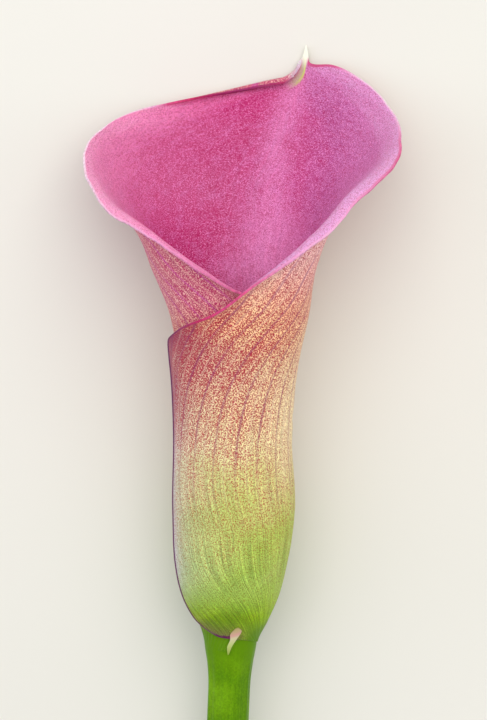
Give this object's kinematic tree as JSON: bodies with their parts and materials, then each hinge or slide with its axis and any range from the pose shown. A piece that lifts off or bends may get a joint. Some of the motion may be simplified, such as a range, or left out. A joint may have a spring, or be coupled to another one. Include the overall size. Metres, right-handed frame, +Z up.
{
  "type": "arum lily flower",
  "caption": "Pink arum lily bloom on its cut green stem, lying on its back: one leaf blade rolled into a flared trumpet round a finger of florets.",
  "frame": {"origin": "the middle of the flower's box, on the surface that it lies on", "axes": "+Z up, +Y from the mouth to the cut end of the stem, the bloom's front facing up"},
  "size_m": [0.0644, 0.2388, 0.0375],
  "materials": {
    "spathe_blade": "satin",
    "floret_spike": "matte",
    "green_stem": "satin"
  },
  "bodies": {
    "root": {"spathe": "spathe_blade", "spadix": "floret_spike", "stem": "green_stem"}
  },
  "joints": []
}
